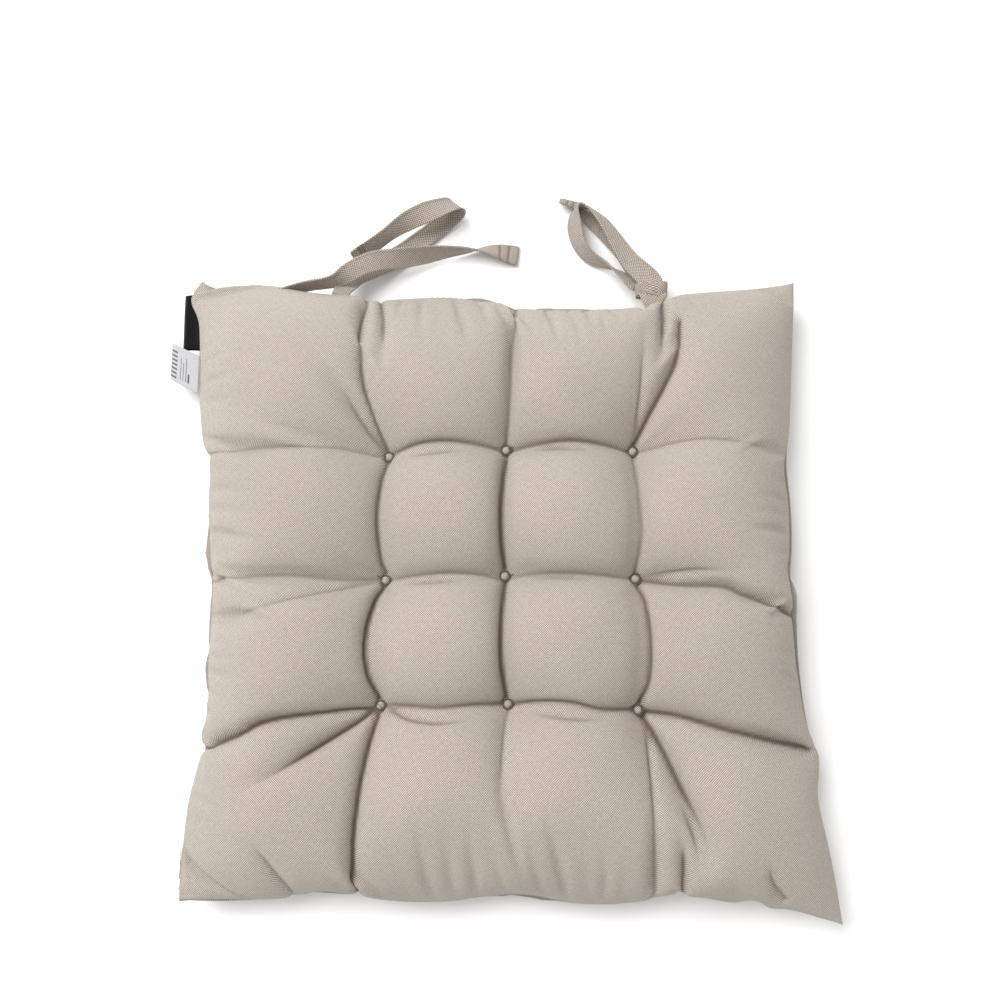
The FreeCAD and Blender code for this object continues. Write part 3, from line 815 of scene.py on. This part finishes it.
RING = 3.4                # radius of a tuft's ring of thread, in millimetres
THREAD, STRAND, TAIL = 0.42, 0.9, 0.32      # half thickness of the ring, the strand inside, a loose end
DOME = 1.75               # height of the spot of cloth inside a ring
TAILS = {
    "middle_left": [(-3.5, 1.5, 0.6), (-6, 3.5, 1.6), (-8.5, 7, 1.4)],
    "middle_centre": [(3.4, 0.3, 0.5), (5.5, 0.9, 1.2), (7.2, 0.2, 0.8)],
    "front_right": [(3.5, -0.5, 0.5), (5.6, 0.8, 1.6), (5.8, -1.2, 1.0)],
    "front_left": [(-2.5, 1.5, 0.6), (0.5, -1.0, 1.4), (1.5, -4.0, 1.0)],
    "back_left": [(-3.2, -1.6, 0.5), (-5.0, -2.2, 1.0)],
    "back_centre": [(3.2, 1.8, 0.5), (4.8, 2.6, 0.9)],
    "middle_right": [(-3.2, 1.2, 0.5), (-4.9, 1.4, 1.1)],
    "back_right": [(1.2, -3.6, 0.5), (2.2, -5.0, 0.8)],
}


def make_tuft(name, seed):
    """One tuft: a ring of thread round a domed spot of cloth on each face, and the thread between them."""
    rng = np.random.default_rng(seed)
    x, y = TUFTS[name]
    points, faces, uvs = [], [], []
    high, low = TOP_TUFT_HEIGHT / MM, BOTTOM_TUFT_HEIGHT / MM
    for z, facing in ((high, 1), (low, -1)):
        for lap in range(2):
            turn = np.linspace(0, 2 * math.pi * 1.02, 40) + rng.uniform(0, 6)
            radius = RING + 0.28 * (lap - 0.5) + 0.22 * np.sin(3 * turn + rng.uniform(0, 6))
            lift = facing * (0.55 + 0.3 * lap + 0.2 * np.sin(2 * turn + rng.uniform(0, 6)))
            squeeze = 1 + 0.05 * rng.uniform(-1, 1)
            line = np.stack([x + radius * squeeze * np.cos(turn), y + radius * np.sin(turn), z + lift],
                            axis=-1)
            tube(points, faces, uvs, line, THREAD)
    tube(points, faces, uvs, [(x + 0.4, y, z) for z in np.linspace(low + 1, high - 1, 6)], STRAND)
    if name in TAILS:
        run = [(math.copysign(0.54 * RING, TAILS[name][0][0]), 0.6, 0.3)] + TAILS[name]
        line = smooth_line([(a, b) for a, b, _ in run], 6)
        heights = np.interp(np.linspace(0, 1, len(line)), np.linspace(0, 1, len(run)), [c for _, _, c in run])
        tail = np.concatenate([line + (x, y), heights[:, None] + high + 0.6], axis=1)
        tube(points, faces, uvs, tail, TAIL, 6)
    thread_faces = len(faces)
    for z, facing in ((high, 1), (low, -1)):
        first = len(points)
        rings, around = 7, 28
        points.append(np.array((x, y, z + facing * DOME)))
        uvs.append((x * MM * FLAT_SCALE, y * MM * FLAT_SCALE))
        for k in range(1, rings + 1):
            r = (RING - 0.35) * k / rings
            for i in range(around):
                turn = 2 * math.pi * i / around
                dx, dy = r * math.cos(turn), r * math.sin(turn)
                height = DOME * (1 - (k / rings) ** 2.4) - 0.5 * (k == rings)
                points.append(np.array((x + dx, y + dy, z + facing * height)))
                uvs.append(((x * FLAT_SCALE + dx) * MM, (y * FLAT_SCALE + dy) * MM))
        points.append(np.array((x, y, z - facing * 0.6)))
        uvs.append((x * MM * FLAT_SCALE, y * MM * FLAT_SCALE))
        last = len(points) - 1
        ring_faces = []
        for i in range(around):
            j = (i + 1) % around
            ring_faces.append([first, first + 1 + i, first + 1 + j])
            for k in range(rings - 1):
                a = first + 1 + k * around
                ring_faces.append([a + i, a + around + i, a + around + j, a + j])
            a = first + 1 + (rings - 1) * around
            ring_faces.append([a + j, a + i, last])
        faces += [f if facing == 1 else f[::-1] for f in ring_faces]
    piece = add_mesh("tuft_thread_" + name, points, faces, uvs, MM)
    piece.data.materials.append(None)
    piece.data.materials.append(None)
    piece.data.polygons.foreach_set("material_index", [0] * thread_faces + [1] * (len(faces) - thread_faces))
    return piece


def seam_line():
    """The seam's points in order round the pad, and the direction out of it at each, in millimetres."""
    n = cover.shape[1]
    ids = rim(np.arange(n * n).reshape(n, n))
    line = cover[0].reshape(-1, 3)[ids] / MM
    out = unit(outward(cover)[0].reshape(-1, 3)[ids] + outward(cover)[1].reshape(-1, 3)[ids])
    return line, out


def make_seam_thread():
    line, out = seam_line()
    points, faces, uvs = [], [], []
    inside = line - out * 1.3
    tube(points, faces, uvs, np.concatenate([inside[::2], inside[:1]]), 0.25, 6)
    return add_mesh("seam_sewing", points, faces, uvs, MM)


def make_closing_stitches():
    """Small slanting hand stitches that close the middle of the back seam."""
    line, out = seam_line()
    back = np.nonzero((line[:, 1] > 150) & (np.abs(line[:, 0]) < 58))[0]
    back = back[np.argsort(line[back, 0])]
    points, faces, uvs = [], [], []
    for x in np.arange(-54, 56, 4.5):
        spot = np.array([np.interp(x, line[back, 0], line[back, i]) for i in range(3)])
        away = unit([np.interp(x, line[back, 0], out[back, i]) for i in range(3)])
        a, b = spot + (-0.5, 0, 1.1) + away * 0.35, spot + (0.5, 0, -1.1) + away * 0.35
        add_stitch(points, faces, uvs, a, b, away, 0.28)
    return add_mesh("closing_sewing", points, faces, uvs, MM)


LABEL_ROOT = (-227.5, 30.2)   # where the labels start inside the seam, along X and up
LABEL_TUCKED = 3          # the length of a label that the seam hides


def make_label(name, width, length, thick, bend, skew, dip, seed):
    """A woven label whose root runs from y = width[0] to width[1].

    It droops by the two angles of bend from its root to its end, leans back by skew, and starts dip lower.
    """
    rng = np.random.default_rng(seed)
    down, across = 26, 22
    grid = []
    phase = rng.uniform(0, 6, 3)
    x, z = LABEL_ROOT[0], LABEL_ROOT[1] - dip
    whole = length + LABEL_TUCKED
    step = whole / (down - 1)
    for k in range(down):
        share = k / (down - 1)
        row = []
        for i in range(across):
            v = i / (across - 1)
            y = width[0] + (width[1] - width[0]) * v + skew * share
            ripple = 0.5 * share * math.sin(3.2 * v + phase[0]) + 0.25 * share * math.sin(7 * v + phase[1])
            row.append((x, y, z + ripple))
        grid.append(row)
        angle = math.radians(bend[0] + (bend[1] - bend[0]) * share)
        x -= step * math.cos(angle)
        z -= step * math.sin(angle)
    top = np.array(grid)
    up = unit(np.cross(np.gradient(top, axis=1), np.gradient(top, axis=0)))
    up *= np.sign(up[..., 2:].mean())
    flat = np.stack(np.meshgrid(np.linspace(0, whole, down), np.linspace(0, width[1] - width[0], across),
                                indexing="ij"), axis=-1).reshape(-1, 2) * MM
    round_end = np.sqrt(np.clip(1 - ((np.arange(down) - down + 2).clip(0) / 1.2) ** 2, 0.2, 1))[:, None, None]
    skin = up * thick / 2 * round_end
    return closed_sheet(name, top + skin, top - skin, flat)


def root_stub(name, stations, pleat):
    """The end of a tie that is caught in the seam, gathered where it is narrow."""
    line = np.array(stations, float)
    rows, across = 14, 25
    t = np.linspace(0, len(line) - 1, rows)
    x, y, z, half, thick = (np.interp(t, np.arange(len(line)), line[:, i]) for i in range(5))
    v = np.linspace(-1, 1, across)
    fold = pleat * np.cos(3 * math.pi * v)[None] * (TIE_WIDTH / 2 / half - 0.8)[:, None]
    edge = (1 - 0.75 * v ** 8)[None] * thick[:, None] / 2
    plan = np.stack([x[:, None] + half[:, None] * v, y[:, None] + 0 * v], axis=-1)
    above, below = (np.concatenate([plan, (z[:, None] + fold + side * edge)[..., None]], axis=-1)
                    for side in (1, -1))
    flat = np.stack([y[:, None] + 0 * v, 0 * y[:, None] + TIE_WIDTH / 2 * v], axis=-1).reshape(-1, 2) * MM
    return closed_sheet(name, above, below, flat, flip=True)


top, bottom = make_panel("cover_top", 0), make_panel("cover_bottom", 1)
for piece, node in ((top, "top_panel"), (bottom, "bottom_panel")):
    stand_in(piece, "pad", node)
filling = make_filling()
sewing = make_seam_thread()
closing = make_closing_stitches()
stand_in(filling, "pad", "fibre_fill")
stand_in(sewing, "pad", "seam_thread")
stand_in(closing, "pad", "closing_stitches")
tufts = []
for k, name in enumerate(TUFTS):
    piece = make_tuft(name, 40 + k)
    stand_in(piece, "pad", "tuft_" + name)
    tufts.append(piece)
brand = make_label("woven_label_dark", (176, 219.5), 13.5, 0.8, (8, 42), 2.0, 2.4, 21)
care = make_label("woven_label_white", (142, 171), 25, 0.4, (10, 46), 15.0, 0.6, 22)
stand_in(brand, "brand_tab", "brand_label")
stand_in(care, "care_tab", "care_label")
stubs = [
    root_stub("tie_root_left", [(-124, 212, 28, 5.5, 1.4), (-124, 220, 28.5, 6.2, 1.4)], 0.2),
    root_stub("tie_root_right", [(112.5, 198, 29, 2.6, 3.2), (112.8, 204, 30.5, 3.4, 3.0),
                                 (113.2, 210, 30.4, 6.0, 2.6), (113.5, 216, 29.6, 9.2, 2.4),
                                 (113.5, 221, 28.6, 11.2, 2.2)], 0.7),
]
for piece in stubs:
    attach(piece, "pad")

# ---------------------------------------------------------------- materials


def node(tree, kind, settings=None, **inputs):
    """A new node; its inputs are named with _ for a space, and take a value or another node's output."""
    made = tree.nodes.new("ShaderNode" + kind)
    for key, value in (settings or {}).items():
        setattr(made, key, value)
    for key, value in inputs.items():
        connect(tree, made.inputs[key.replace("_", " ")], value)
    return made


def connect(tree, socket, value):
    if isinstance(value, bpy.types.NodeSocket):
        tree.links.new(value, socket)
    else:
        socket.default_value = value


def calc(tree, operation, a, b=0.0):
    made = tree.nodes.new("ShaderNodeMath")
    made.operation = operation
    connect(tree, made.inputs[0], a)
    connect(tree, made.inputs[1], b)
    return made.outputs[0]


def times(tree, a, b):
    return calc(tree, "MULTIPLY", a, b)


def mix(tree, share, a, b, blend="MIX"):
    """A blend of two colours, given as three numbers or as another node's output."""
    made = tree.nodes.new("ShaderNodeMix")
    made.data_type = "RGBA"
    made.blend_type = blend
    for socket, value in zip((made.inputs[0], made.inputs[6], made.inputs[7]), (share, a, b)):
        connect(tree, socket, (*value, 1) if isinstance(value, tuple) else value)
    return made.outputs[2]


def ramp(tree, value, low, high, to_low=0.0, to_high=1.0):
    return node(tree, "MapRange", {"interpolation_type": "SMOOTHSTEP"}, Value=value,
                From_Min=low, From_Max=high, To_Min=to_low, To_Max=to_high).outputs[0]


def speckle(tree, u, v, scale_u, scale_v, seed, detail=2.0):
    """Noise that is longer one way than the other, for the shades of yarns."""
    place = node(tree, "CombineXYZ", X=times(tree, u, scale_u), Y=times(tree, v, scale_v), Z=float(seed))
    return node(tree, "TexNoise", Vector=place.outputs[0], Scale=1.0, Detail=detail, Roughness=0.6).outputs[0]


def shaded(tree, colour, red, green, blue):
    """A colour with each of its three parts multiplied by a value."""
    shade = node(tree, "CombineColor", Red=red, Green=green, Blue=blue).outputs[0]
    return mix(tree, 1.0, colour, shade, "MULTIPLY")


def add_bump(tree, shader, strength, distance, height):
    bump = node(tree, "Bump", Strength=strength, Distance=distance, Height=height)
    tree.links.new(bump.outputs[0], shader.inputs["Normal"])


def start_material(name, roughness, sheen):
    material = bpy.data.materials.new(name)
    material.use_nodes = True
    tree = material.node_tree
    shader = tree.nodes["Principled BSDF"]
    shader.inputs["Roughness"].default_value = roughness
    shader.inputs["Sheen Weight"].default_value = sheen
    shader.inputs["Sheen Roughness"].default_value = 0.6
    shader.inputs["Specular IOR Level"].default_value = 0.25
    return material, tree, shader


def cloth_coordinates(tree):
    made = node(tree, "UVMap", {"uv_map": "cloth"})
    split = node(tree, "SeparateXYZ", Vector=made.outputs[0])
    return split.outputs[0], split.outputs[1]


def woven(name, pitch, warp, weft, relief, sheen=0.15, tone_and_painted_shade=(1.0, 1.0, 1.0), folds=False):
    """A plain weave of light warp yarns and darker weft yarns; pitch is one yarn's width, in metres."""
    material, tree, shader = start_material(name, 0.85, sheen)
    u, v = cloth_coordinates(tree)
    drift = times(tree, calc(tree, "SUBTRACT", speckle(tree, u, v, 70, 70, 1), 0.5), 1.6 * pitch)
    wander_u, wander_v = calc(tree, "ADD", u, drift), calc(tree, "SUBTRACT", v, drift)
    wave_u = calc(tree, "SINE", times(tree, wander_u, math.pi / pitch))
    wave_v = calc(tree, "SINE", times(tree, wander_v, math.pi / pitch))
    check = times(tree, wave_u, wave_v)
    over = ramp(tree, check, -0.2, 0.2)
    warp_shade = speckle(tree, u, v, 0.9 / pitch, 0.22 / pitch, 2)
    weft_shade = speckle(tree, u, v, 0.22 / pitch, 0.9 / pitch, 5)
    light = mix(tree, ramp(tree, warp_shade, 0.3, 0.7), tuple(0.84 * c for c in warp), warp)
    dark = mix(tree, ramp(tree, weft_shade, 0.3, 0.7), tuple(0.7 * c for c in weft),
               tuple(1.2 * c for c in weft))
    colour = mix(tree, over, dark, light)
    # painted shade in the gaps between yarns, where the weave's bump is low
    painted_gap_shade = ramp(tree, calc(tree, "ABSOLUTE", check), 0.0, 0.22, 0.62, 1.0)
    colour = shaded(tree, colour, painted_gap_shade, painted_gap_shade, painted_gap_shade)
    cloud = ramp(tree, speckle(tree, u, v, 9, 9, 8, 3), 0.3, 0.7, 0.95, 1.03)
    warm = times(tree, cloud, ramp(tree, speckle(tree, u, v, 14, 14, 12), 0.3, 0.7, 0.985, 1.0))
    colour = shaded(tree, colour, cloud, cloud, warm)
    # painted crease shade, read from the points' fold attribute
    if folds:
        deep = node(tree, "Attribute", {"attribute_name": "fold"}).outputs["Fac"]
        colour = mix(tree, deep, colour, mix(tree, 1.0, colour, PAINTED_CREASE_SHADE, "MULTIPLY"))
    # the whole cloth is darkened by tone_and_painted_shade: on the ties partly their own tone, partly painted
    # shade
    tree.links.new(mix(tree, 1.0, colour, tone_and_painted_shade, "MULTIPLY"), shader.inputs["Base Color"])
    tree.links.new(ramp(tree, weft_shade, 0.2, 0.8, 0.78, 0.95), shader.inputs["Roughness"])
    fuzz = speckle(tree, u, v, 1.7 / pitch, 1.7 / pitch, 15)
    height = calc(tree, "ADD", calc(tree, "POWER", calc(tree, "ABSOLUTE", check), 0.5),
                  times(tree, fuzz, 0.35))
    add_bump(tree, shader, 0.7, relief, height)
    return material


def twisted(name, colour, twist):
    """Twisted sewing thread; twist is the distance from one strand's turn to the next."""
    material, tree, shader = start_material(name, 0.6, 0.3)
    u, v = cloth_coordinates(tree)
    slant = calc(tree, "ADD", times(tree, u, 2 * math.pi / twist),
                 times(tree, v, 2 * math.pi / (0.5 * twist)))
    strand = ramp(tree, calc(tree, "SINE", slant), -1.0, 1.0)
    # painted shade and highlight: each strand is darker in the twist's grooves and lighter on its crests
    shade = mix(tree, strand, tuple(0.55 * c for c in colour), tuple(min(1, 1.25 * c) for c in colour))
    fleck = ramp(tree, speckle(tree, u, v, 900, 900, 3), 0.3, 0.75, 0.8, 1.15)
    tree.links.new(shaded(tree, shade, fleck, fleck, fleck), shader.inputs["Base Color"])
    tree.links.new(ramp(tree, strand, 0.0, 1.0, 0.75, 0.5), shader.inputs["Roughness"])
    add_bump(tree, shader, 0.8, 0.00015, strand)
    return material


def label_cloth(name, base, thread, bars, sheen, shine):
    """Smooth ribbed satin, plain or with a few soft generic bars woven across it."""
    material, tree, shader = start_material(name, 0.5, sheen)
    shader.inputs["Specular IOR Level"].default_value = shine
    u, v = cloth_coordinates(tree)
    rib = calc(tree, "SINE", times(tree, v, 2 * math.pi / 0.0005))
    floats = calc(tree, "SINE", times(tree, u, 2 * math.pi / 0.0009))
    weave = ramp(tree, calc(tree, "ADD", rib, times(tree, floats, 0.5)), -1.4, 1.4)
    # painted shade: the satin is darker in the grooves between its ribs, where its bump is low
    colour = mix(tree, weave, tuple(0.78 * c for c in base), base)
    for start, end, low, high in bars:
        inside = times(tree, ramp(tree, u, start - 0.0001, start + 0.0001),
                      ramp(tree, u, end + 0.0001, end - 0.0001))
        within = times(tree, ramp(tree, v, low - 0.0002, low + 0.0002),
                      ramp(tree, v, high + 0.0002, high - 0.0002))
        colour = mix(tree, times(tree, inside, within), colour, thread)
    fleck = ramp(tree, speckle(tree, u, v, 1200, 300, 4), 0.25, 0.75, 0.93, 1.05)
    tree.links.new(shaded(tree, colour, fleck, fleck, fleck), shader.inputs["Base Color"])
    tree.links.new(ramp(tree, weave, 0.0, 1.0, 0.6, 0.4), shader.inputs["Roughness"])
    add_bump(tree, shader, 0.5, 0.00008, weave)
    return material


def fluffy(name, colour):
    """Loose polyester wadding."""
    material, tree, shader = start_material(name, 0.95, 0.5)
    place = node(tree, "TexCoord").outputs["Object"]
    clump = node(tree, "TexNoise", Vector=place, Scale=90.0, Detail=4.0, Roughness=0.65).outputs[0]
    fibre = node(tree, "TexNoise", Vector=place, Scale=700.0, Detail=3.0, Distortion=1.5).outputs[0]
    both = calc(tree, "ADD", times(tree, clump, 0.7), times(tree, fibre, 0.3))
    tree.links.new(mix(tree, ramp(tree, both, 0.3, 0.7), tuple(0.8 * c for c in colour), colour),
                   shader.inputs["Base Color"])
    add_bump(tree, shader, 0.8, 0.002, both)
    return material


def pale_floor(name):
    material, tree, shader = start_material(name, 0.9, 0.0)
    place = node(tree, "TexCoord").outputs["Object"]
    cloud = node(tree, "TexNoise", Vector=place, Scale=3.0, Detail=2.0).outputs[0]
    tree.links.new(mix(tree, cloud, (0.9, 0.9, 0.895), (0.93, 0.93, 0.93)), shader.inputs["Base Color"])
    return material


YARN, TIE_YARN = 0.00080, 0.00100
COVER_WARP, COVER_WEFT = (0.695, 0.631, 0.565), (0.228, 0.186, 0.148)
PAINTED_CREASE_SHADE = (0.30, 0.24, 0.185)   # painted shade: the colour that darkens the cloth deep in a crease
cover_cloth = woven("cover_cloth", YARN, COVER_WARP, COVER_WEFT, 0.0003, folds=True)
# the ties' cloth is the cover's made darker: partly the straps' own darker beige, partly painted shade for
# straps facing away from the light
tie_cloth = woven("tie_cloth", TIE_YARN, COVER_WARP, COVER_WEFT, 0.0003, tone_and_painted_shade=(0.84, 0.82, 0.81), folds=True)
tuft_thread = twisted("tuft_thread", (0.10, 0.065, 0.045), 0.0009)
sewing_thread = twisted("sewing_thread", (0.42, 0.36, 0.29), 0.0007)
tie_thread = twisted("tie_thread", (0.36, 0.30, 0.24), 0.0007)
dark_label = label_cloth("dark_label", (0.004, 0.0048, 0.0048), (0.06, 0.06, 0.06),
                         [(0.0146, 0.0150, 0.002, 0.042)], 0.0, 0.06)
lines = [(0.0075, 0.0090, 0.004, 0.011), (0.0104, 0.0110, 0.004, 0.022),
         (0.0130, 0.0136, 0.004, 0.018), (0.0156, 0.0162, 0.004, 0.021)]
bars = [(0.0200, 0.0272, 0.003 + 0.0033 * k, 0.0045 + 0.0033 * k) for k in range(7)]
white_label = label_cloth("white_label", (0.45, 0.45, 0.46), (0.05, 0.05, 0.055), lines + bars, 0.3, 0.2)
wadding = fluffy("wadding", (0.86, 0.86, 0.84))

for piece in (top, bottom):
    piece.data.materials.append(cover_cloth)
for ribbon, rows_piece, _ in ties.values():
    ribbon.data.materials.append(tie_cloth)
    rows_piece.data.materials.append(tie_thread)
for piece in [wrap] + stubs:
    piece.data.materials.append(tie_cloth)
for piece in tufts:
    piece.data.materials[0] = tuft_thread
    piece.data.materials[1] = cover_cloth
filling.data.materials.append(wadding)
sewing.data.materials.append(sewing_thread)
closing.data.materials.append(sewing_thread)
brand.data.materials.append(dark_label)
care.data.materials.append(white_label)

# ---------------------------------------------------------------- floor and light

floor = add_mesh("floor", [(-3, -3, 0), (3, -3, 0), (3, 3, 0), (-3, 3, 0)], [(0, 1, 2, 3)])
floor.data.materials.append(pale_floor("floor"))
world = bpy.data.worlds.new("studio")
bpy.context.scene.world = world
world.use_nodes = True
world.node_tree.nodes["Background"].inputs["Color"].default_value = (1, 1, 1, 1)
world.node_tree.nodes["Background"].inputs["Strength"].default_value = 0.76


def area_light(name, place, size, power):
    data = bpy.data.lights.new(name, "AREA")
    data.shape = "DISK"
    data.size = size
    data.energy = power
    lamp = bpy.data.objects.new(name, data)
    lamp.location = place
    lamp.rotation_mode = "QUATERNION"
    lamp.rotation_quaternion = (-Vector(place)).to_track_quat("-Z", "Y")
    bpy.context.collection.objects.link(lamp)


area_light("key", (-1.5, 1.15, 2.7), 2.4, 112)
bpy.context.scene.view_settings.view_transform = "Standard"
